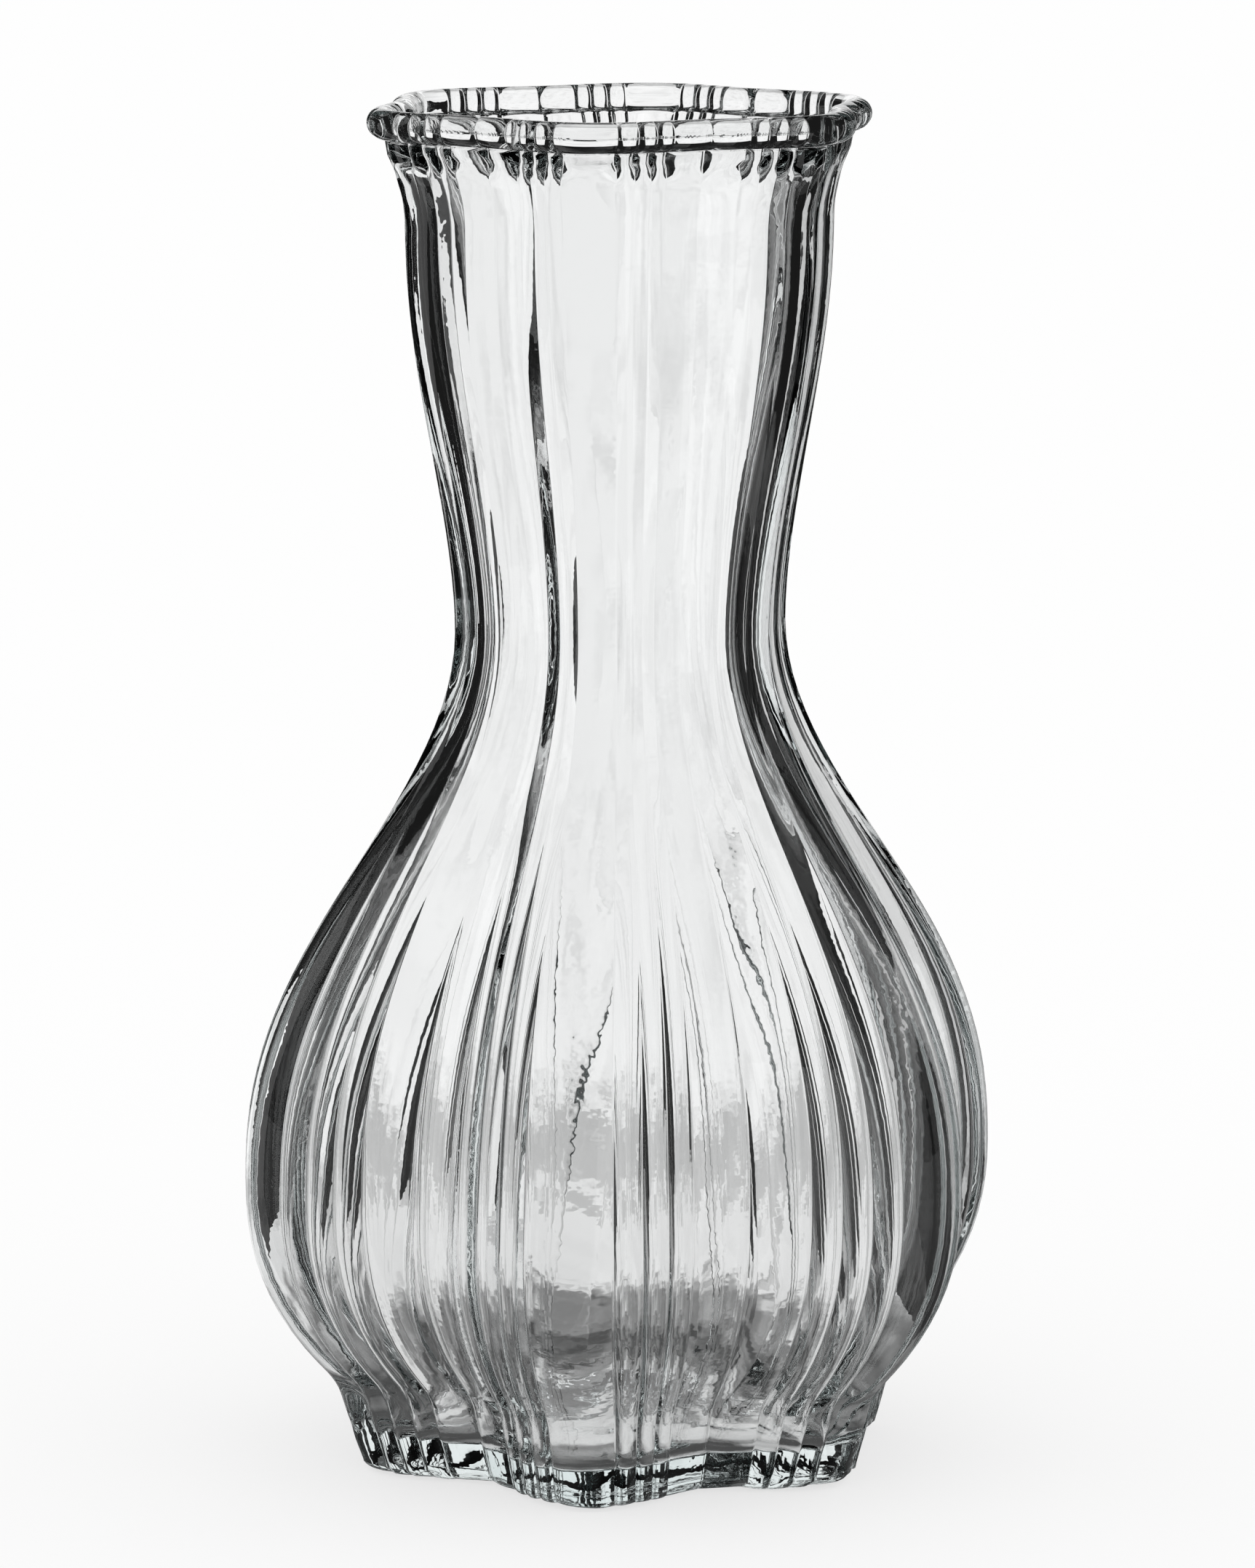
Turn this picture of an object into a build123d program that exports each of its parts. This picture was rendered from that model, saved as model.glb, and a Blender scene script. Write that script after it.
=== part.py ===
from build123d import *
from math import cos, pi, radians, sin, sqrt
import os

# Clear glass vase: a lobed, reeded bowl on a solid foot, with a waisted neck and a rolled rim.
# Millimetres, +Z up, origin at the middle of the foot's underside. One lobe faces -Y.

# Heights above the table
HEIGHT = 170.0
WAIST_HEIGHT = 105.0
BOWL_HEIGHT = 37.0
FOOT_HEIGHT = 11.5
FLOOR_HEIGHT = 5.0

# Mean radii: a lobe's crest stands out from the mean and a valley lies inside it by the lobe height
RIM_RADIUS = 29.1
COLLAR_RADIUS = 28.4
THROAT_RADIUS = 26.3
WAIST_RADIUS = 20.2
BOWL_RADIUS = 45.4
FOOT_RADIUS = 34.2
BASE_RADIUS = 30.6

# Lobes round the vase, and how far they stand out at each height
LOBES = 6
RIM_LOBE = 1.7
WAIST_LOBE = 1.5
BOWL_LOBE = 4.2
FOOT_LOBE = 3.7

# Reeds: creases beside each lobe's crest, in degrees from the crest, and how deep they are cut
CREASE_ANGLES = (6.5, 11.0, 15.2, 19.5)
BOWL_CREASE = 0.45
WAIST_CREASE = 0.12
RIM_CREASE = 0.3

# Glass thickness, the rounding where the wall meets the floor, and the inner lobes as a share of the outer
WALL = 3.2
FOOT_WALL = 4.2
HEEL_RADIUS = 3.0
INNER_LOBE_SHARE = 0.9

# Rolled rim and its bend round a crest, the collar band under its middle and the flare from throat to collar
BEAD_RADIUS = 1.9
CREST_BEND = 12.5
COLLAR_HEIGHT = 4.0
FLARE_HEIGHT = 9.0

# Foot: bevel round the underside, and the shallow hollow that leaves a flat ring to stand on
BEVEL = 1.2
HOLLOW_RADIUS = 19.0
HOLLOW_DEPTH = 1.0

# How full the bowl is below and above its widest height, and how early the neck opens
LOWER_FULLNESS = 2.3
UPPER_FULLNESS = 1.2
NECK_FULLNESS = 0.9

# Points that carry a smooth outline round each lobe
POINTS_PER_LOBE = 8

# Worked out from the sizes above
LOBE_ANGLE = 360 / LOBES
BEAD_HEIGHT = HEIGHT - BEAD_RADIUS
COLLAR_BOTTOM = BEAD_HEIGHT - COLLAR_HEIGHT
THROAT_HEIGHT = COLLAR_BOTTOM - FLARE_HEIGHT


def blend(low, high, share):
    """Value that leaves low and reaches high without a corner as share runs from 0 to 1."""
    return low + (high - low) * (1 - cos(pi * share)) / 2


def mean_radius(z):
    """Mean outer radius of the glass at a height below the collar."""
    if z <= FOOT_HEIGHT:
        return BASE_RADIUS + (FOOT_RADIUS - BASE_RADIUS) * z / FOOT_HEIGHT
    if z <= BOWL_HEIGHT:
        drop = (BOWL_HEIGHT - z) / (BOWL_HEIGHT - FOOT_HEIGHT)
        return BOWL_RADIUS - (BOWL_RADIUS - FOOT_RADIUS) * drop**LOWER_FULLNESS
    if z <= WAIST_HEIGHT:
        rise = (z - BOWL_HEIGHT) / (WAIST_HEIGHT - BOWL_HEIGHT)
        return blend(BOWL_RADIUS, WAIST_RADIUS, rise**UPPER_FULLNESS)
    if z <= THROAT_HEIGHT:
        rise = (z - WAIST_HEIGHT) / (THROAT_HEIGHT - WAIST_HEIGHT)
        return blend(WAIST_RADIUS, THROAT_RADIUS, rise**NECK_FULLNESS)
    rise = (z - THROAT_HEIGHT) / (COLLAR_BOTTOM - THROAT_HEIGHT)
    return THROAT_RADIUS + (COLLAR_RADIUS - THROAT_RADIUS) * rise**2


def by_height(z, foot, bowl, waist, rim):
    """Value given at the foot, bowl, waist and rim, and blended between those heights."""
    if z <= BOWL_HEIGHT:
        return blend(foot, bowl, z / BOWL_HEIGHT)
    if z <= WAIST_HEIGHT:
        return blend(bowl, waist, (z - BOWL_HEIGHT) / (WAIST_HEIGHT - BOWL_HEIGHT))
    return blend(waist, rim, (z - WAIST_HEIGHT) / (HEIGHT - WAIST_HEIGHT))


def lobe_height(z):
    return by_height(z, FOOT_LOBE, BOWL_LOBE, WAIST_LOBE, RIM_LOBE)


def crease_depth(z):
    return by_height(z, BOWL_CREASE, BOWL_CREASE, WAIST_CREASE, RIM_CREASE)


def wall_thickness(z):
    """Wall measured level, thicker towards the floor and rounded into it."""
    wall = by_height(z, FOOT_WALL, WALL, WALL, WALL)
    above_floor = z - FLOOR_HEIGHT
    if above_floor < HEEL_RADIUS:
        wall += HEEL_RADIUS - sqrt(HEEL_RADIUS**2 - (HEEL_RADIUS - above_floor) ** 2)
    return wall


def polar(radius, angle, z):
    """Point at an angle measured from the lobe that faces -Y."""
    turn = radians(angle - 90)
    return Vector(radius * cos(turn), radius * sin(turn), z)


def lobed(mean, lobe, angle):
    return mean + lobe * cos(radians(LOBES * angle))


def reeded_section(z, inset=0):
    """Outer outline at a height: each panel between two creases is one arc."""
    mean = mean_radius(z) - inset
    lobe = lobe_height(z)
    crease = crease_depth(z)
    beside_crest = [-LOBE_ANGLE / 2, *(-a for a in reversed(CREASE_ANGLES)), *CREASE_ANGLES]
    angles = [LOBE_ANGLE * n + a for n in range(LOBES) for a in beside_crest]
    angles.append(angles[0] + 360)
    arcs = []
    for start, end in zip(angles, angles[1:]):
        middle = (start + end) / 2
        arcs.append(
            Edge.make_three_point_arc(
                polar(lobed(mean, lobe, start) - crease, start, z),
                polar(lobed(mean, lobe, middle), middle, z),
                polar(lobed(mean, lobe, end) - crease, end, z),
            )
        )
    return Wire(arcs)


def inner_section(z):
    """Inner outline at a height: lobed like the outside, but without reeds."""
    mean = mean_radius(z) - wall_thickness(z)
    lobe = lobe_height(z) * INNER_LOBE_SHARE
    count = POINTS_PER_LOBE * LOBES
    angles = [360 * n / count for n in range(count)]
    return Wire([Edge.make_spline([polar(lobed(mean, lobe, a), a, z) for a in angles], periodic=True)])


def heights_between(low, high, steps):
    """Heights above low, up to and with high."""
    return [low + (high - low) * n / steps for n in range(1, steps + 1)]


def glass_wall(heights):
    """Reeded wall with a smooth lobed inside, through sections at the heights."""
    outer = Solid.make_loft([reeded_section(z) for z in heights])
    inner = Solid.make_loft([inner_section(z) for z in heights])
    return outer - inner


def foot():
    """Solid foot with a bevelled edge, hollowed underneath by a large sphere."""
    sections = [reeded_section(0, BEVEL), reeded_section(BEVEL), reeded_section(FLOOR_HEIGHT)]
    sphere_radius = (HOLLOW_RADIUS**2 + HOLLOW_DEPTH**2) / (2 * HOLLOW_DEPTH)
    hollow = Pos(0, 0, HOLLOW_DEPTH - sphere_radius) * Sphere(sphere_radius)
    return Solid.make_loft(sections, ruled=True) - hollow


def bowl():
    """Bulb-shaped wall from the floor up to the waist."""
    heel_top = FLOOR_HEIGHT + HEEL_RADIUS
    return glass_wall(
        [
            FLOOR_HEIGHT,
            *heights_between(FLOOR_HEIGHT, heel_top, 2),
            *heights_between(heel_top, FOOT_HEIGHT, 1),
            *heights_between(FOOT_HEIGHT, BOWL_HEIGHT, 5),
            *heights_between(BOWL_HEIGHT, WAIST_HEIGHT, 7),
        ]
    )


def neck():
    """Wall that opens from the waist to the throat and flares up to the collar."""
    return glass_wall(
        [
            WAIST_HEIGHT,
            *heights_between(WAIST_HEIGHT, THROAT_HEIGHT, 5),
            *heights_between(THROAT_HEIGHT, COLLAR_BOTTOM, 2),
        ]
    )


def rim_path():
    """Lobed line along the middle of the bead: arcs round crests and valleys, tangent where they meet."""
    crest_centre = RIM_RADIUS + RIM_LOBE - CREST_BEND
    valley = RIM_RADIUS - RIM_LOBE
    across = cos(radians(LOBE_ANGLE / 2))
    valley_bend = (CREST_BEND**2 - valley**2 - crest_centre**2 + 2 * crest_centre * valley * across) / (
        2 * (valley - crest_centre * across - CREST_BEND)
    )
    arcs = []
    for lobe in range(LOBES):
        crest = LOBE_ANGLE * lobe
        before, after = crest - LOBE_ANGLE / 2, crest + LOBE_ANGLE / 2
        middle = polar(crest_centre, crest, BEAD_HEIGHT)
        share = CREST_BEND / (CREST_BEND + valley_bend)
        meet_before = middle + (polar(valley + valley_bend, before, BEAD_HEIGHT) - middle) * share
        meet_after = middle + (polar(valley + valley_bend, after, BEAD_HEIGHT) - middle) * share
        meet_next = meet_before.rotate(Axis.Z, LOBE_ANGLE)
        arcs += [
            Edge.make_three_point_arc(meet_before, polar(RIM_RADIUS + RIM_LOBE, crest, BEAD_HEIGHT), meet_after),
            Edge.make_three_point_arc(meet_after, polar(valley, after, BEAD_HEIGHT), meet_next),
        ]
    return Wire(arcs)


def rim():
    """Rolled bead with the collar band under it, as one profile carried round the lobes."""
    path = rim_path()
    start = path @ 0
    inwards = Vector(-start.X, -start.Y, 0)
    across_glass = Plane(origin=start, x_dir=inwards, z_dir=path % 0)
    collar_outside = RIM_RADIUS - COLLAR_RADIUS
    collar_inside = collar_outside + WALL
    collar = Polygon(
        (collar_outside, -COLLAR_HEIGHT), (collar_inside, -COLLAR_HEIGHT), (BEAD_RADIUS / 2, 0), (0, 0), align=None
    )
    return sweep(across_glass * (Circle(BEAD_RADIUS) + collar), path=path)


os.makedirs("parts", exist_ok=True)
for build_node in (foot, bowl, neck, rim):
    export_step(build_node(), f"parts/{build_node.__name__}.step")
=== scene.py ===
import math
from collections import namedtuple

import bpy
import numpy as np
from bpy.props import FloatProperty, FloatVectorProperty, PointerProperty
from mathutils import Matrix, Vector, noise


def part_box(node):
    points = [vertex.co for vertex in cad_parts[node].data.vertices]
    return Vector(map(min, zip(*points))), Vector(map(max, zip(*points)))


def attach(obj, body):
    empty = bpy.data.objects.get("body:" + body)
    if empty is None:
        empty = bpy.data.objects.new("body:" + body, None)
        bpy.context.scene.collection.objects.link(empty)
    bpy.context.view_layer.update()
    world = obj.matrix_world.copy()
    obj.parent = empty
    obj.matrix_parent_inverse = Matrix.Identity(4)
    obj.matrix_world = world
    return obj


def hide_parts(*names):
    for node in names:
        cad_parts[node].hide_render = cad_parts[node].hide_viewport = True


bl_info = {
    "name": "Lobed Glass Vase",
    "version": (1, 0, 0),
    "blender": (4, 5, 0),
    "location": "View3D > Sidebar > Vase",
    "description": "Builds a lobed, reeded clear glass vase over its CAD frame, with a plain studio stage",
    "category": "Object",
}

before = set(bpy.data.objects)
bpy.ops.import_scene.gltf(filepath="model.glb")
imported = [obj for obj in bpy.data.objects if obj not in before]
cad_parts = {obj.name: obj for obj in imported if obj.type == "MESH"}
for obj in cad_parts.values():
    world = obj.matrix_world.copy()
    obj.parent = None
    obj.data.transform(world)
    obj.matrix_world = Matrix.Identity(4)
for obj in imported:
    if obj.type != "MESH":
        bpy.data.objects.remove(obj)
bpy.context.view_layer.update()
BODY = "root"
GLASS_NODES = ("foot", "bowl", "neck", "rim")

MM = 0.001
WHITE = (1.0, 1.0, 1.0, 1.0)

# Lobes round the vase, and the creases beside each lobe's crest, in degrees from the crest
LOBES = 6
LOBE_ANGLE = 360 / LOBES
CREASE_ANGLES = (6.5, 11.0, 15.2, 19.5)

# How deep the creases and flutes on each flank of the lobes are, as a share, from the front crest round
FLANK_DEPTHS = (1.4, 1.6, 1.4, 0.9, 0.7, 0.6, 0.6, 0.7, 0.9, 1.5, 1.9, 2.1)

# How much a crease's depth swells and fades along it, as a share
DEPTH_SWELL = 0.6

# How full the bowl is below and above its widest place, how early the neck opens, and how flat the reeds are
LOWER_FULLNESS = 2.3
UPPER_FULLNESS = 1.2
NECK_FULLNESS = 0.9
REED_FLATNESS = 2.5

# The corner between foot and bowl is averaged this far up and down, at heights within reach of it
SOFTENING = 1.4 * MM
SOFTENING_STEPS = 9
SOFTENING_REACH = 4 * MM

Waves = namedtuple("Waves", "around up seed")

# Waves of the uneven glass: how long they are round the vase and up it, and a seed that sets them apart
CREASE_WAVES = Waves(4 * MM, 60 * MM, 2.2)
WANDER_WAVES = Waves(9 * MM, 32 * MM, 1.3)
OUTER_WAVES = Waves(12 * MM, 36 * MM, 3.1)
INNER_WAVES = Waves(9 * MM, 30 * MM, 9.4)
CAVITY_FLOOR_WAVES = Waves(12 * MM, 12 * MM, 6.2)
FOOT_WAVES = Waves(3.5 * MM, 3.5 * MM, 7.7)
COLLAR_WAVES = Waves(3 * MM, 2.5 * MM, 5.5)
RIM_WAVES = Waves(7 * MM, 4 * MM, 4.4)

# Which way a seed moves its waves
SEED_SPREAD = (1.0, 2.7, 5.1)

# Radius of the plain cylinder on which the waves along the creases are read
PATTERN_RADIUS = 20 * MM

# Columns of the mesh across a panel between two creases, by its width in degrees
NARROW_PANEL = 5
NARROW_COLUMNS = 8
WIDE_COLUMNS = 10

# Rows of the mesh outside: closer at the ankle, between foot and bowl, and just under the collar
ANKLE_LOW = 8 * MM
ANKLE_HIGH = 16 * MM
UNDER_COLLAR = 8 * MM
FOOT_ROWS = 7
ANKLE_ROWS = 12
BODY_ROWS = 60
COLLAR_ROWS = 12

# Rows of the mesh inside: closer above the heel, and by turns in degrees round it
HEEL_APPROACH = 14 * MM
INNER_ROWS = 50
APPROACH_ROWS = 5
HEEL_TURNS = (0, 20, 40, 60, 75, 86)

# The edge of the cavity's floor is read this far above it, where the heel's rounding is all but level
FLOOR_EDGE = 0.01 * MM

# Rows of the mesh on the cavity's floor and underneath, as shares of the way across
CAVITY_FLOOR_SHARES = (0.97, 0.85, 0.7, 0.55, 0.4, 0.25, 0.1)
HOLLOW_SHARES = np.linspace(0.1, 1, 12)
STANDING_SHARES = np.linspace(0.12, 1, 8)

# Rows of the mesh round the bevel, by turns in degrees
BEVEL_TURNS = (25, 50, 75)

# Rows of the mesh on the rim: up the collar outside, round the bead to a turn in degrees, and down inside
COLLAR_SHARES = (0.2, 0.4)
BEAD_ROWS = 26
BEAD_END = 210
THROAT_SHARES = (0.3, 0.65)

# Waves to the metre of the glass's fine crinkle and of the chips on the foot, and how flat the crinkle is
CRINKLE_SCALE = 650.0
CHIP_SCALE = 420.0
CRINKLE_FLATNESS = 1.4

# Width of the camera's sensor in millimetres
SENSOR = 36.0

# How often light may pass through glass, and how often it may be mirrored
GLASS_BOUNCES = 24
GLOSSY_BOUNCES = 12

# Sheets on the floor lie this far apart: lowest the drum's floor, then the cards, the round card with the
# painted shadow under the foot and the white floor
LAYER = 0.0002
SHEETS_BESIDE_CARDS = 3

# Steps round the axis of the drum and of the round card with the painted shadow under the foot
TURNED_STEPS = 72

Card = namedtuple("Card", "bearing width reach height brightness")

# Bright cards: bearing in degrees from straight behind the vase, width, reach on the floor, height of the
# upright far end, and brightness
CARDS = (
    Card(-90, 0.1, 0.24, 0.2, 0.85),
    Card(-45, 0.06, 0.38, 0.05, 1.0),
    Card(40, 0.024, 0.24, 0.2, 0.6),
    Card(135, 0.1, 0.24, 0.12, 0.85),
    Card(-16, 0.08, 0.24, 0.25, 1.0),
    Card(1, 0.08, 0.24, 0.25, 1.0),
)

# Painted shadow of the vase on the cards that lie on the floor: grey by distance from the vase's axis,
# darkest just outside the foot and lighter right under it, with a band of painted shade further out
PAINTED_FLOOR_SHADOW = (
    (0.008, 0.62),
    (0.016, 0.5),
    (0.024, 0.07),
    (0.036, 0.08),
    (0.048, 0.2),
    (0.06, 0.27),
    (0.072, 0.42),
    (0.09, 0.82),
    (0.14, 0.88),
    (0.155, 0.62),
    (0.19, 0.57),
    (0.21, 0.85),
)

# Ragged edges of that painted shadow: patches to the metre, and how far they shift a grey, as a share of its
# reach
SHADOW_PATCH_SCALE = 60.0
SHADOW_PATCH_SHIFT = 0.15


class VaseGlassSettings(bpy.types.PropertyGroup):
    """Sizes and finish of the glass."""

    waist_height: FloatProperty(
        name="Waist Height",
        description="Height of the narrowest place, where the bowl ends and the neck begins",
        default=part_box("bowl")[1].z,
        unit="LENGTH",
    )
    floor_height: FloatProperty(
        name="Floor Height",
        description="Thickness of the solid glass under the cavity",
        default=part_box("foot")[1].z,
        unit="LENGTH",
    )
    collar_height: FloatProperty(
        name="Collar Height",
        description="Height where the neck ends and the rim's collar band begins",
        default=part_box("rim")[0].z,
        unit="LENGTH",
    )
    height: FloatProperty(
        name="Height",
        description="Height of the top of the rim",
        default=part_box("rim")[1].z,
        unit="LENGTH",
    )
    bowl_height: FloatProperty(
        name="Bowl Height",
        description="Height of the bowl's widest place",
        default=37.0 * MM,
        unit="LENGTH",
    )
    foot_height: FloatProperty(
        name="Foot Height",
        description="Height of the hollow line where the bowl springs from the foot",
        default=11.5 * MM,
        unit="LENGTH",
    )
    rim_radius: FloatProperty(
        name="Rim Radius",
        description="Mean radius of the rolled bead's middle line",
        default=29.1 * MM,
        unit="LENGTH",
    )
    throat_radius: FloatProperty(
        name="Throat Radius",
        description="Mean radius of the neck under the flare",
        default=26.3 * MM,
        unit="LENGTH",
    )
    waist_radius: FloatProperty(
        name="Waist Radius",
        description="Mean radius at the waist",
        default=20.2 * MM,
        unit="LENGTH",
    )
    bowl_radius: FloatProperty(
        name="Bowl Radius",
        description="Mean radius at the bowl's widest place",
        default=45.4 * MM,
        unit="LENGTH",
    )
    foot_radius: FloatProperty(
        name="Foot Radius",
        description="Mean radius at the top of the foot",
        default=34.2 * MM,
        unit="LENGTH",
    )
    base_radius: FloatProperty(
        name="Base Radius",
        description="Mean radius of the foot at the table",
        default=30.6 * MM,
        unit="LENGTH",
    )
    rim_lobe: FloatProperty(
        name="Rim Lobe",
        description="How far the lobes stand out at the rim",
        default=1.7 * MM,
        unit="LENGTH",
    )
    waist_lobe: FloatProperty(
        name="Waist Lobe",
        description="How far the lobes stand out at the waist",
        default=1.5 * MM,
        unit="LENGTH",
    )
    bowl_lobe: FloatProperty(
        name="Bowl Lobe",
        description="How far the lobes stand out on the bowl",
        default=4.2 * MM,
        unit="LENGTH",
    )
    foot_lobe: FloatProperty(
        name="Foot Lobe",
        description="How far the lobes stand out on the foot",
        default=3.7 * MM,
        unit="LENGTH",
    )
    bowl_crease: FloatProperty(
        name="Bowl Crease",
        description="Depth of the creases between reeds on the bowl",
        default=0.55 * MM,
        unit="LENGTH",
    )
    foot_crease: FloatProperty(
        name="Foot Crease",
        description="Depth of the creases at the foot",
        default=0.35 * MM,
        unit="LENGTH",
    )
    waist_crease: FloatProperty(
        name="Waist Crease",
        description="Depth of the creases at the waist",
        default=0.12 * MM,
        unit="LENGTH",
    )
    rim_crease: FloatProperty(
        name="Rim Crease",
        description="Depth of the creases at the rim",
        default=0.7 * MM,
        unit="LENGTH",
    )
    rim_reach: FloatProperty(
        name="Rim Reach",
        description="How far the rim's creases run down the neck",
        default=1.5 * MM,
        unit="LENGTH",
    )
    neck_flute: FloatProperty(
        name="Neck Flute",
        description="Depth of the broad flutes on the neck",
        default=0.45 * MM,
        unit="LENGTH",
    )
    wall: FloatProperty(
        name="Wall",
        description="Thickness of the neck and bowl",
        default=3.2 * MM,
        unit="LENGTH",
    )
    foot_wall: FloatProperty(
        name="Foot Wall",
        description="Thickness of the wall at the foot",
        default=4.2 * MM,
        unit="LENGTH",
    )
    heel_radius: FloatProperty(
        name="Heel Radius",
        description="Rounding where the wall meets the floor inside",
        default=3.0 * MM,
        unit="LENGTH",
    )
    bead_radius: FloatProperty(
        name="Bead Radius",
        description="Radius of the rolled rim",
        default=1.9 * MM,
        unit="LENGTH",
    )
    collar_radius: FloatProperty(
        name="Collar Radius",
        description="Mean outer radius of the collar band",
        default=28.4 * MM,
        unit="LENGTH",
    )
    flare_height: FloatProperty(
        name="Flare Height",
        description="Height over which the neck turns out to the collar",
        default=9.0 * MM,
        unit="LENGTH",
    )
    bevel: FloatProperty(
        name="Bevel",
        description="Bevel round the foot's underside",
        default=1.2 * MM,
        unit="LENGTH",
    )
    hollow_radius: FloatProperty(
        name="Hollow Radius",
        description="Radius of the hollow under the foot",
        default=19.0 * MM,
        unit="LENGTH",
    )
    hollow_depth: FloatProperty(
        name="Hollow Depth",
        description="Depth of the hollow under the foot",
        default=1.0 * MM,
        unit="LENGTH",
    )
    inner_lobe_share: FloatProperty(
        name="Inner Lobe Share",
        description="Inner lobes as a share of the outer ones",
        default=0.9,
        subtype="FACTOR",
    )
    outer_ripple: FloatProperty(
        name="Outer Ripple",
        description="Unevenness of the moulded outside",
        default=0.06 * MM,
        unit="LENGTH",
    )
    inner_ripple: FloatProperty(
        name="Inner Ripple",
        description="Unevenness of the inside",
        default=0.16 * MM,
        unit="LENGTH",
    )
    foot_ripple: FloatProperty(
        name="Foot Ripple",
        description="Unevenness of the foot's sides and underside",
        default=0.22 * MM,
        unit="LENGTH",
    )
    rim_ripple: FloatProperty(
        name="Rim Ripple",
        description="Unevenness of the rolled rim",
        default=0.08 * MM,
        unit="LENGTH",
    )
    collar_ripple: FloatProperty(
        name="Collar Ripple",
        description="Unevenness of the neck just under the rim",
        default=0.2 * MM,
        unit="LENGTH",
    )
    wander: FloatProperty(
        name="Wander",
        description="How far the creases wander sideways",
        default=math.radians(0.9),
        subtype="ANGLE",
    )
    crinkle: FloatProperty(
        name="Crinkle",
        description="Depth of the fine crinkle all over the glass",
        default=0.009 * MM,
        unit="LENGTH",
    )
    chips: FloatProperty(
        name="Chips",
        description="Depth of the icy chips on the foot",
        default=0.05 * MM,
        unit="LENGTH",
    )
    refraction: FloatProperty(
        name="Refraction",
        description="How strongly the glass bends light",
        default=1.5,
    )
    glass_tint: FloatVectorProperty(
        name="Glass Tint",
        description="Colour that thick glass takes on",
        default=(0.87, 0.92, 0.92),
        size=3,
        subtype="COLOR",
    )
    tint_density: FloatProperty(
        name="Tint Density",
        description="How fast the tint deepens with the thickness of the glass",
        default=30.0,
    )


class VaseStageSettings(bpy.types.PropertyGroup):
    """Floor, what the glass looks out on, and camera."""

    floor_size: FloatProperty(
        name="Floor Size",
        description="Side of the floor",
        default=16.0,
        unit="LENGTH",
    )
    floor_colour: FloatVectorProperty(
        name="Floor Colour",
        description="Colour of the matt floor",
        default=(0.97, 0.97, 0.97),
        size=3,
        subtype="COLOR",
    )
    floor_glow: FloatProperty(
        name="Floor Glow",
        description="Share of the floor that glows plain white, so that its shadow stays faint",
        default=0.7,
        subtype="FACTOR",
    )
    drum_radius: FloatProperty(
        name="Drum Radius",
        description="Radius of the dark drum that glass sees round the vase",
        default=0.4,
        unit="LENGTH",
    )
    drum_height: FloatProperty(
        name="Drum Height",
        description="Height of the dark drum",
        default=0.5,
        unit="LENGTH",
    )
    drum_level: FloatProperty(
        name="Drum Level",
        description="Brightness of the drum's dark wall",
        default=0.01,
        subtype="FACTOR",
    )
    drum_floor_level: FloatProperty(
        name="Drum Floor Level",
        description="Brightness of the drum's floor",
        default=0.03,
        subtype="FACTOR",
    )
    skylight: FloatProperty(
        name="Skylight",
        description="Radius of the opening above the vase",
        default=0.12,
        unit="LENGTH",
    )
    # Reach of the painted shadow of the vase on the cards, beyond which they glow in full
    painted_shadow_reach: FloatProperty(
        name="Grey Reach",
        description="Distance from the vase's axis where the cards come to full brightness",
        default=0.24,
        unit="LENGTH",
    )
    # The round card under the foot shows only the painted shadow of the vase
    painted_shadow_disc: FloatProperty(
        name="Base Card",
        description="Radius of the round card under the foot",
        default=0.036,
        unit="LENGTH",
    )
    camera_turn: FloatProperty(
        name="Camera Turn",
        description="Turn of the camera round the vase from the front lobe",
        default=math.radians(7.74),
        subtype="ANGLE",
    )
    camera_distance: FloatProperty(
        name="Camera Distance",
        description="Level distance from the vase's axis",
        default=1.016,
        unit="LENGTH",
    )
    camera_height: FloatProperty(
        name="Camera Height",
        description="Height of the lens above the table",
        default=0.252,
        unit="LENGTH",
    )
    aim_height: FloatProperty(
        name="Aim Height",
        description="Height on the axis that the camera looks at",
        default=0.0848,
        unit="LENGTH",
    )
    aim_aside: FloatProperty(
        name="Aim Aside",
        description="How far right of the axis the camera looks",
        default=0.0008,
        unit="LENGTH",
    )
    lens: FloatProperty(
        name="Lens",
        description="Focal length in millimetres",
        default=189.2,
        unit="CAMERA",
    )


def blend(low, high, share):
    """Values that leave low and reach high without a corner as share runs from 0 to 1."""
    return low + (high - low) * (1 - np.cos(np.pi * np.clip(share, 0, 1))) / 2


def outward(turns):
    """Level directions away from the axis, by turns from the front."""
    return np.stack([np.sin(turns), -np.cos(turns)], axis=1)


def uneven(points, amount, waves):
    """Smooth swelling of up to an amount for each point."""
    offset = Vector([waves.seed * spread for spread in SEED_SPREAD])
    stretch = np.array([1 / waves.around, 1 / waves.around, 1 / waves.up])
    return np.array([amount * noise.noise(Vector(p) + offset) for p in points * stretch])


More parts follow.
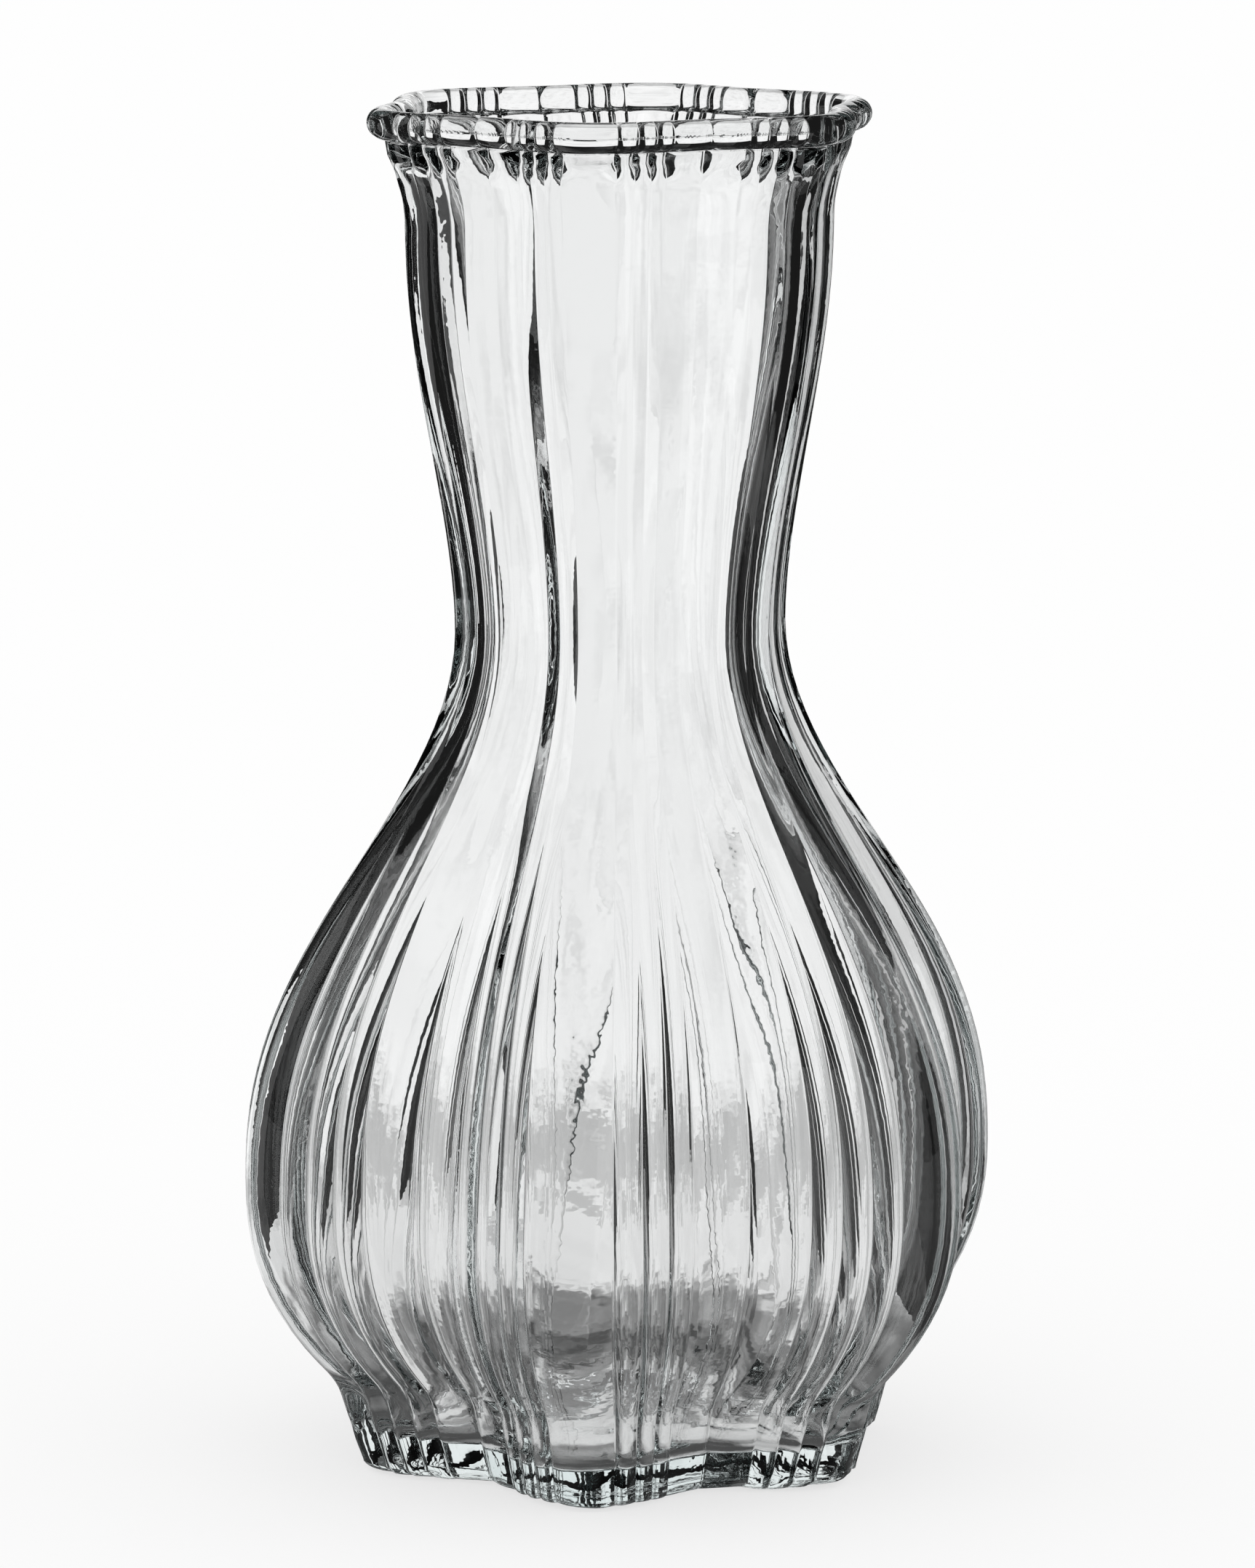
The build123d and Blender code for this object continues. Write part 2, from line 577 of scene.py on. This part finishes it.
class GlassShape:
    """Rings of points over the whole glass: up the outside, over the rim and down the inside."""

    def __init__(self, glass):
        self.glass = glass
        self.bead_height = glass.height - glass.bead_radius
        self.throat_height = glass.collar_height - glass.flare_height
        self.columns()

    def columns(self):
        """Columns round the vase: turns from the front crest, and what lobes, reeds and flutes do at each."""
        half = LOBE_ANGLE / 2
        creases = [-half, *(-a for a in reversed(CREASE_ANGLES)), *CREASE_ANGLES, half]
        turns, reeds = [], []
        for lobe in range(LOBES):
            for start, end in zip(creases, creases[1:]):
                steps = NARROW_COLUMNS if end - start < NARROW_PANEL else WIDE_COLUMNS
                share = blend(0.0, 1.0, np.arange(steps) / steps)
                turns.extend(lobe * LOBE_ANGLE + start + (end - start) * share)
                reeds.extend(-np.abs(1 - 2 * share) ** REED_FLATNESS)
        turns = np.array(turns)
        from_crest = np.abs((turns + half) % LOBE_ANGLE - half)
        flank = (from_crest - CREASE_ANGLES[0]) / (CREASE_ANGLES[-1] - CREASE_ANGLES[0])
        depths = np.array(FLANK_DEPTHS)
        self.turns = np.radians(turns)
        self.reeds = np.array(reeds)
        self.lobes = np.cos(LOBES * self.turns)
        self.depths = depths[(turns // half).astype(int) % len(depths)]
        self.flutes = np.where((flank > 0) & (flank < 1), -4 * flank * (1 - flank), 0)

    def sharp_mean(self, z):
        """Mean outer radius up to the collar, with a corner where the bowl springs from the foot."""
        g = self.glass
        drop = np.clip((g.bowl_height - z) / (g.bowl_height - g.foot_height), 0, 1)
        rise = np.clip((z - g.bowl_height) / (g.waist_height - g.bowl_height), 0, 1)
        opening = np.clip((z - g.waist_height) / (self.throat_height - g.waist_height), 0, 1)
        flare = np.clip((z - self.throat_height) / g.flare_height, 0, 1)
        foot = g.base_radius + (g.foot_radius - g.base_radius) * z / g.foot_height
        lower = g.bowl_radius - (g.bowl_radius - g.foot_radius) * drop**LOWER_FULLNESS
        upper = blend(g.bowl_radius, g.waist_radius, rise**UPPER_FULLNESS)
        neck = blend(g.waist_radius, g.throat_radius, opening**NECK_FULLNESS)
        neck = neck + (g.collar_radius - g.throat_radius) * flare**2
        below_waist = np.where(z <= g.bowl_height, lower, upper)
        return np.where(z <= g.foot_height, foot, np.where(z <= g.waist_height, below_waist, neck))

    def mean(self, z):
        """Mean outer radius, with the corner between foot and bowl softened."""
        if abs(z - self.glass.foot_height) > SOFTENING_REACH:
            return self.sharp_mean(z)
        return self.sharp_mean(z + np.linspace(-SOFTENING, SOFTENING, SOFTENING_STEPS)).mean()

    def by_height(self, z, foot, bowl, waist, rim):
        """Value given at the foot, bowl, waist and rim, and blended between those heights."""
        g = self.glass
        if z <= g.bowl_height:
            return blend(foot, bowl, z / g.bowl_height)
        if z <= g.waist_height:
            return blend(bowl, waist, (z - g.bowl_height) / (g.waist_height - g.bowl_height))
        return blend(waist, rim, (z - g.waist_height) / (g.height - g.waist_height))

    def lobe(self, z):
        """How far the lobes stand out at a height."""
        g = self.glass
        return self.by_height(z, g.foot_lobe, g.bowl_lobe, g.waist_lobe, g.rim_lobe)

    def pattern(self, z):
        """Points at a height on the plain cylinder where the waves along the creases are read."""
        return np.column_stack([PATTERN_RADIUS * outward(self.turns), np.full(self.turns.shape, z)])

    def relief(self, z):
        """Reeds, some deeper than others, and the broad flutes that they run together into on the neck."""
        g = self.glass
        crease = self.by_height(z, g.foot_crease, g.bowl_crease, g.waist_crease, g.waist_crease)
        if z > g.bowl_height:
            crease = crease * (self.mean(z) / g.bowl_radius) ** 2
        crease = blend(crease, g.rim_crease, 1 - (g.collar_height - z) / g.rim_reach)
        flute = self.by_height(z, 0.0, 0.0, g.neck_flute, 0.0)
        swell = 1 + uneven(self.pattern(z), DEPTH_SWELL, CREASE_WAVES)
        return self.depths * (crease * self.reeds * swell + flute * self.flutes)

    def wall(self, z):
        """Wall measured level, thicker towards the floor and rounded into it."""
        g = self.glass
        heel = np.clip(g.heel_radius - (z - g.floor_height), 0, g.heel_radius)
        wall = self.by_height(z, g.foot_wall, g.wall, g.wall, g.wall)
        return wall + g.heel_radius - math.sqrt(g.heel_radius**2 - heel**2)

    def ring(self, radius, z, ripple=0.0, waves=OUTER_WAVES):
        """Ring at a height, with the columns wandering a little and the radius rippled."""
        turns = self.turns + uneven(self.pattern(z), self.glass.wander, WANDER_WAVES)
        out = outward(turns)
        radius = np.broadcast_to(radius, turns.shape)
        points = np.column_stack([out * radius[:, None], np.full(turns.shape, z)])
        if ripple:
            points[:, :2] += out * uneven(points, ripple, waves)[:, None]
        return points

    def outer(self, z, inset=0.0):
        """Outer radius at each column."""
        return self.mean(z) - inset + self.lobe(z) * self.lobes + self.relief(z)

    def inner(self, z):
        """Inner radius at each column: lobed like the outside, but without reeds."""
        return self.mean(z) - self.wall(z) + self.lobe(z) * self.glass.inner_lobe_share * self.lobes

    def beside_bead(self, distance, z, reed=0.0):
        """Ring at a true distance outside the bead's lobed middle line."""
        g = self.glass
        radius = g.rim_radius + g.rim_lobe * self.lobes
        slope = -g.rim_lobe * LOBES * np.sin(LOBES * self.turns)
        out = outward(self.turns)
        along = np.stack([np.cos(self.turns), np.sin(self.turns)], axis=1)
        normal = out * radius[:, None] - along * slope[:, None]
        normal /= np.linalg.norm(normal, axis=1)[:, None]
        level = out * radius[:, None] + normal * (distance + reed * self.reeds)[:, None]
        points = np.column_stack([level, np.full(self.turns.shape, z)])
        points[:, :2] += normal * uneven(points, g.rim_ripple, RIM_WAVES)[:, None]
        return points

    def underside(self):
        """The hollow, the flat ring round it and the rounded bevel."""
        g = self.glass
        sphere = (g.hollow_radius**2 + g.hollow_depth**2) / (2 * g.hollow_depth)
        rows = []
        for share in HOLLOW_SHARES:
            radius = g.hollow_radius * share
            rows.append(self.ring(radius, g.hollow_depth - sphere + math.sqrt(sphere**2 - radius**2)))
        edge = self.outer(0.0, g.bevel)
        for share in STANDING_SHARES:
            rows.append(self.ring(g.hollow_radius + (edge - g.hollow_radius) * share, 0.0))
        for turn in np.radians(BEVEL_TURNS):
            z = g.bevel * (1 - math.cos(turn))
            rows.append(self.ring(self.outer(z, g.bevel * (1 - math.sin(turn))), z))
        for row in rows:
            row[:, 2] += g.foot_ripple + uneven(row, g.foot_ripple, FOOT_WAVES)
        return rows

    def outside(self):
        """Foot, bowl and neck, up to the collar."""
        g = self.glass
        under_collar = g.collar_height - UNDER_COLLAR
        heights = np.concatenate(
            [
                np.linspace(g.bevel, ANKLE_LOW, FOOT_ROWS, endpoint=False),
                np.linspace(ANKLE_LOW, ANKLE_HIGH, ANKLE_ROWS, endpoint=False),
                np.linspace(ANKLE_HIGH, under_collar, BODY_ROWS, endpoint=False),
                np.linspace(under_collar, g.collar_height, COLLAR_ROWS),
            ]
        )
        rows = []
        for z in heights:
            row = self.ring(self.outer(z), z, g.outer_ripple, OUTER_WAVES)
            foot = blend(g.foot_ripple, 0.0, z / g.foot_height)
            row[:, :2] *= 1 + uneven(row, foot / g.foot_radius, FOOT_WAVES)[:, None]
            collar = blend(0.0, g.collar_ripple, 1 - (g.collar_height - z) / g.flare_height)
            row[:, :2] *= 1 + uneven(row, collar / g.collar_radius, COLLAR_WAVES)[:, None]
            rows.append(row)
        return rows

    def rim(self):
        """Collar band and rolled bead, whose creases fade out over the top."""
        g = self.glass
        low = g.collar_height - self.bead_height
        outside = g.collar_radius - g.rim_radius
        inside = outside - g.wall
        start = math.atan2(low, outside)
        end = math.radians(BEAD_END)
        rows = []
        for share in COLLAR_SHARES:
            z = self.bead_height + low * (1 - share)
            rows.append(self.beside_bead(outside * (1 - share), z, g.rim_crease))
        for turn in np.linspace(start, end, BEAD_ROWS):
            z = self.bead_height + g.bead_radius * math.sin(turn)
            reed = blend(g.rim_crease, 0.0, (turn - start) / (end - start))
            rows.append(self.beside_bead(g.bead_radius * math.cos(turn), z, reed))
        for share in THROAT_SHARES:
            z = self.bead_height + blend(g.bead_radius * math.sin(end), low, share)
            rows.append(self.beside_bead(blend(g.bead_radius * math.cos(end), inside, share), z))
        return rows

    def inside(self):
        """Smooth lobed inside, down to the floor of the cavity."""
        g = self.glass
        heel_top = g.floor_height + g.heel_radius
        heights = np.concatenate(
            [
                np.linspace(g.collar_height, HEEL_APPROACH, INNER_ROWS, endpoint=False),
                np.linspace(HEEL_APPROACH, heel_top, APPROACH_ROWS, endpoint=False),
                g.floor_height + g.heel_radius * (1 - np.sin(np.radians(HEEL_TURNS))),
            ]
        )
        rows = [self.ring(self.inner(z), z, g.inner_ripple, INNER_WAVES) for z in heights]
        edge = self.inner(g.floor_height + FLOOR_EDGE)
        for share in CAVITY_FLOOR_SHARES:
            row = self.ring(edge * share, g.floor_height)
            row[:, 2] += uneven(row, g.inner_ripple, CAVITY_FLOOR_WAVES)
            rows.append(row)
        return rows

    def mesh(self):
        """Closed mesh: quads between the rings, and a fan at each end."""
        rows = [*self.underside(), *self.outside(), *self.rim(), *self.inside()]
        columns = len(self.turns)
        bottom = [[0, 0, rows[0][:, 2].mean()]]
        cavity = [[0, 0, rows[-1][:, 2].mean()]]
        points = np.concatenate([bottom, *rows, cavity])
        last = len(points) - 1
        last_row = last - columns
        faces = []
        for column in range(columns):
            after = (column + 1) % columns
            faces.append((0, 1 + after, 1 + column))
            for low in range(1, last_row, columns):
                high = low + columns
                faces.append((low + column, low + after, high + after, high + column))
            faces.append((last_row + column, last_row + after, last))
        mesh = bpy.data.meshes.new("glass_vase")
        mesh.from_pydata(points.tolist(), [], faces)
        mesh.validate()
        mesh.polygons.foreach_set("use_smooth", [True] * len(mesh.polygons))
        return mesh


def new_material(name):
    """Material with its nodes and links."""
    material = bpy.data.materials.new(name)
    material.use_nodes = True
    return material, material.node_tree.nodes, material.node_tree.links


def noise_node(nodes, scale, detail):
    """Noise texture with so many waves to the metre."""
    texture = nodes.new("ShaderNodeTexNoise")
    texture.inputs["Scale"].default_value = scale
    texture.inputs["Detail"].default_value = detail
    return texture


def clear_glass(glass):
    """Clear moulded glass: a fine crinkle, icy chips on the foot and a cool tint where it is thick."""
    material, nodes, links = new_material("clear_glass")
    shader = nodes["Principled BSDF"]
    shader.inputs["Base Color"].default_value = WHITE
    shader.inputs["Roughness"].default_value = 0.0
    shader.inputs["IOR"].default_value = glass.refraction
    shader.inputs["Transmission Weight"].default_value = 1.0
    absorb = nodes.new("ShaderNodeVolumeAbsorption")
    absorb.inputs["Color"].default_value = (*glass.glass_tint, 1.0)
    absorb.inputs["Density"].default_value = glass.tint_density
    links.new(absorb.outputs["Volume"], nodes["Material Output"].inputs["Volume"])
    place = nodes.new("ShaderNodeTexCoord")

    # Crinkle, a little flatter than it is wide
    flatten = nodes.new("ShaderNodeMapping")
    flatten.inputs["Scale"].default_value = (1.0, 1.0, CRINKLE_FLATNESS)
    crinkle = noise_node(nodes, CRINKLE_SCALE, detail=1.0)
    crinkle_bump = nodes.new("ShaderNodeBump")
    crinkle_bump.inputs["Distance"].default_value = glass.crinkle
    links.new(place.outputs["Object"], flatten.inputs["Vector"])
    links.new(flatten.outputs["Vector"], crinkle.inputs["Vector"])
    links.new(crinkle.outputs["Fac"], crinkle_bump.inputs["Height"])

    # Chips, which fade out towards the top of the foot
    height = nodes.new("ShaderNodeSeparateXYZ")
    near_table = nodes.new("ShaderNodeMapRange")
    near_table.inputs["From Min"].default_value = glass.foot_height
    near_table.inputs["From Max"].default_value = glass.foot_height / 2
    chips = noise_node(nodes, CHIP_SCALE, detail=2.0)
    fading = nodes.new("ShaderNodeMath")
    fading.operation = "MULTIPLY"
    chip_bump = nodes.new("ShaderNodeBump")
    chip_bump.inputs["Distance"].default_value = glass.chips
    links.new(place.outputs["Object"], height.inputs["Vector"])
    links.new(height.outputs["Z"], near_table.inputs["Value"])
    links.new(place.outputs["Object"], chips.inputs["Vector"])
    links.new(chips.outputs["Fac"], fading.inputs[0])
    links.new(near_table.outputs["Result"], fading.inputs[1])
    links.new(fading.outputs["Value"], chip_bump.inputs["Height"])
    links.new(chip_bump.outputs["Normal"], crinkle_bump.inputs["Normal"])
    links.new(crinkle_bump.outputs["Normal"], shader.inputs["Normal"])
    return material


def white_floor(stage):
    """Matt floor that reads as plain white and takes a soft shadow."""
    material, nodes, links = new_material("white_floor")
    matt = nodes["Principled BSDF"]
    matt.inputs["Base Color"].default_value = (*stage.floor_colour, 1.0)
    matt.inputs["Roughness"].default_value = 1.0
    matt.inputs["Specular IOR Level"].default_value = 0.0
    white = nodes.new("ShaderNodeEmission")
    mixed = nodes.new("ShaderNodeMixShader")
    mixed.inputs["Fac"].default_value = stage.floor_glow
    links.new(matt.outputs["BSDF"], mixed.inputs[1])
    links.new(white.outputs["Emission"], mixed.inputs[2])
    links.new(mixed.outputs["Shader"], nodes["Material Output"].inputs["Surface"])
    return material


def glow(name, brightness):
    """Even glow, for what the glass looks out on."""
    material, nodes, links = new_material(name)
    light = nodes.new("ShaderNodeEmission")
    light.inputs["Strength"].default_value = brightness
    links.new(light.outputs["Emission"], nodes["Material Output"].inputs["Surface"])
    return material


def card_glow_and_painted_shadow(name, brightness, stage):
    """Glow of a card, with a painted shadow of the vase in ragged grey on the floor near it, and full at its
    far end.
    """
    material = glow(name, brightness)
    nodes, links = material.node_tree.nodes, material.node_tree.links
    place = nodes.new("ShaderNodeTexCoord")
    shrink = nodes.new("ShaderNodeMapping")
    shrink.inputs["Scale"].default_value = (1 / stage.painted_shadow_reach,) * 3
    near = nodes.new("ShaderNodeTexGradient")
    near.gradient_type = "SPHERICAL"
    # Painted shadow of the vase: grey by distance from its axis, with ragged edges
    painted_shadow = nodes.new("ShaderNodeValToRGB")
    stops = painted_shadow.color_ramp.elements
    stops[0].color = WHITE
    stops[1].color = (PAINTED_FLOOR_SHADOW[0][1],) * 3 + (1.0,)
    for distance, grey in PAINTED_FLOOR_SHADOW:
        stops.new(1 - distance / stage.painted_shadow_reach).color = (grey, grey, grey, 1.0)
    patches = noise_node(nodes, SHADOW_PATCH_SCALE, detail=2.0)
    patches.normalize = False
    ragged = nodes.new("ShaderNodeMath")
    ragged.operation = "MULTIPLY_ADD"
    ragged.inputs[1].default_value = SHADOW_PATCH_SHIFT
    links.new(place.outputs["Object"], shrink.inputs["Vector"])
    links.new(place.outputs["Object"], patches.inputs["Vector"])
    links.new(shrink.outputs["Vector"], near.inputs["Vector"])
    links.new(patches.outputs["Fac"], ragged.inputs[0])
    links.new(near.outputs["Fac"], ragged.inputs[2])
    links.new(ragged.outputs["Value"], painted_shadow.inputs["Fac"])
    links.new(painted_shadow.outputs["Color"], nodes["Emission"].inputs["Color"])
    return material


def place_mesh(name, points, faces, material):
    """New mesh object in the scene."""
    mesh = bpy.data.meshes.new(name)
    mesh.from_pydata(points, [], faces)
    mesh.materials.append(material)
    made = bpy.data.objects.new(name, mesh)
    bpy.context.scene.collection.objects.link(made)
    return made


def glass_only(made):
    """Stage piece that shows only through the glass and in its reflections."""
    made.visible_camera = False
    made.visible_diffuse = False
    made.visible_shadow = False


def turned_sheet(name, profile, material):
    """Sheet turned all round the axis from (radius, height) points."""
    points, faces = [], []
    for step in range(TURNED_STEPS):
        turn = 2 * math.pi * step / TURNED_STEPS
        points += [(radius * math.sin(turn), radius * math.cos(turn), z) for radius, z in profile]
    row = len(profile)
    for step in range(TURNED_STEPS):
        here = step * row
        after = (step + 1) % TURNED_STEPS * row
        for k in range(row - 1):
            faces.append((here + k, after + k, after + k + 1, here + k + 1))
    glass_only(place_mesh(name, points, faces, material))


def bent_card(name, card, low, reach, material):
    """Card that lies on the floor from the axis outwards and turns up at its far end."""
    turn = math.radians(card.bearing)
    ahead = Vector((math.sin(turn), math.cos(turn), 0))
    aside = Vector((math.cos(turn), -math.sin(turn), 0)) * (card.width / 2)
    points = []
    for along, z in ((0, low), (reach, low), (reach, card.height)):
        middle = ahead * along + Vector((0, 0, z))
        points += [middle - aside, middle + aside]
    glass_only(place_mesh(name, points, [(0, 1, 3, 2), (2, 3, 5, 4)], material))


class VASE_OT_make_glass(bpy.types.Operator):
    """Make the one piece of clear glass that the whole vase is"""

    bl_idname = "vase.make_glass"
    bl_label = "Make Glass"

    def execute(self, context):
        glass = context.scene.vase_glass
        vase = bpy.data.objects.new("glass_vase", GlassShape(glass).mesh())
        vase.data.materials.append(clear_glass(glass))
        context.scene.collection.objects.link(vase)
        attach(vase, BODY)
        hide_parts(*GLASS_NODES)
        return {"FINISHED"}


class VASE_OT_set_stage(bpy.types.Operator):
    """Set up the white floor, the dark drum with its bright cards, the soft light and the camera"""

    bl_idname = "vase.set_stage"
    bl_label = "Set Stage"

    def execute(self, context):
        scene = context.scene
        stage = scene.vase_stage
        self.floor(stage)
        self.surround(stage)
        self.light(scene)
        self.camera(scene, stage)
        scene.view_settings.view_transform = "Standard"
        return {"FINISHED"}

    def floor(self, stage):
        """White floor, which the glass itself doesn't see."""
        half = stage.floor_size / 2
        corners = [(-half, -half, 0), (half, -half, 0), (half, half, 0), (-half, half, 0)]
        floor = place_mesh("floor", corners, [(0, 1, 2, 3)], white_floor(stage))
        floor.location.z = -LAYER
        floor.visible_glossy = False
        floor.visible_transmission = False

    def surround(self, stage):
        """What the glass looks out on: a dark drum with bright cards in it, which carry a painted shadow of
        the vase near it, and a round card with that painted shadow under its foot.
        """
        reach, top = stage.drum_radius, stage.drum_height
        low = -(len(CARDS) + SHEETS_BESIDE_CARDS) * LAYER
        turned_sheet("drum_floor", [(0, low), (reach, low)], glow("drum_floor", stage.drum_floor_level))
        wall = [(reach, low), (reach, top), (stage.skylight, top)]
        turned_sheet("drum_wall", wall, glow("drum_wall", stage.drum_level))
        for number, card in enumerate(CARDS):
            low += LAYER
            name = f"card_{number}"
            material = card_glow_and_painted_shadow(name, card.brightness, stage)
            bent_card(name, card, low, card.reach - number * LAYER, material)
        low += LAYER
        # Round card under the foot, glowing with the painted shadow of the vase
        turned_sheet("painted_shadow_disc", [(0, low), (stage.painted_shadow_disc, low)], card_glow_and_painted_shadow("painted_shadow_disc", 1.0, stage))

    def light(self, scene):
        """Even white light from all round, and enough bounces for clear glass."""
        world = bpy.data.worlds.new("soft_light")
        world.use_nodes = True
        sky = world.node_tree.nodes["Background"]
        sky.inputs["Color"].default_value = WHITE
        sky.inputs["Strength"].default_value = 1.0
        scene.world = world
        scene.cycles.max_bounces = GLASS_BOUNCES
        scene.cycles.transmission_bounces = GLASS_BOUNCES
        scene.cycles.glossy_bounces = GLOSSY_BOUNCES

    def camera(self, scene, stage):
        """Camera at the height and turn from which the vase is looked at."""
        lens = bpy.data.cameras.new("camera")
        lens.lens = stage.lens
        lens.sensor_width = SENSOR
        camera = bpy.data.objects.new("camera", lens)
        scene.collection.objects.link(camera)
        turn = stage.camera_turn
        right = Vector((math.cos(turn), math.sin(turn), 0))
        back = Vector((math.sin(turn), -math.cos(turn), 0))
        camera.location = back * stage.camera_distance + Vector((0, 0, stage.camera_height))
        aim = right * stage.aim_aside + Vector((0, 0, stage.aim_height))
        camera.rotation_mode = "QUATERNION"
        camera.rotation_quaternion = (aim - camera.location).to_track_quat("-Z", "Y")
        scene.camera = camera


class VASE_PT_panel(bpy.types.Panel):
    """Vase tools in the sidebar"""

    bl_idname = "VASE_PT_panel"
    bl_label = "Lobed Glass Vase"
    bl_space_type = "VIEW_3D"
    bl_region_type = "UI"
    bl_category = "Vase"

    def draw(self, context):
        for group in (context.scene.vase_glass, context.scene.vase_stage):
            box = self.layout.box()
            for name in group.__annotations__:
                box.prop(group, name)
        self.layout.operator(VASE_OT_make_glass.bl_idname)
        self.layout.operator(VASE_OT_set_stage.bl_idname)


CLASSES = (VaseGlassSettings, VaseStageSettings, VASE_OT_make_glass, VASE_OT_set_stage, VASE_PT_panel)


def register():
    """Add the settings, operators and panel to Blender."""
    for cls in CLASSES:
        bpy.utils.register_class(cls)
    bpy.types.Scene.vase_glass = PointerProperty(type=VaseGlassSettings)
    bpy.types.Scene.vase_stage = PointerProperty(type=VaseStageSettings)


def unregister():
    """Take the settings, operators and panel out of Blender again."""
    del bpy.types.Scene.vase_stage
    del bpy.types.Scene.vase_glass
    for cls in reversed(CLASSES):
        bpy.utils.unregister_class(cls)


def main():
    """Build the vase and its stage."""
    register()
    bpy.ops.vase.make_glass()
    bpy.ops.vase.set_stage()


if __name__ == "__main__":
    main()
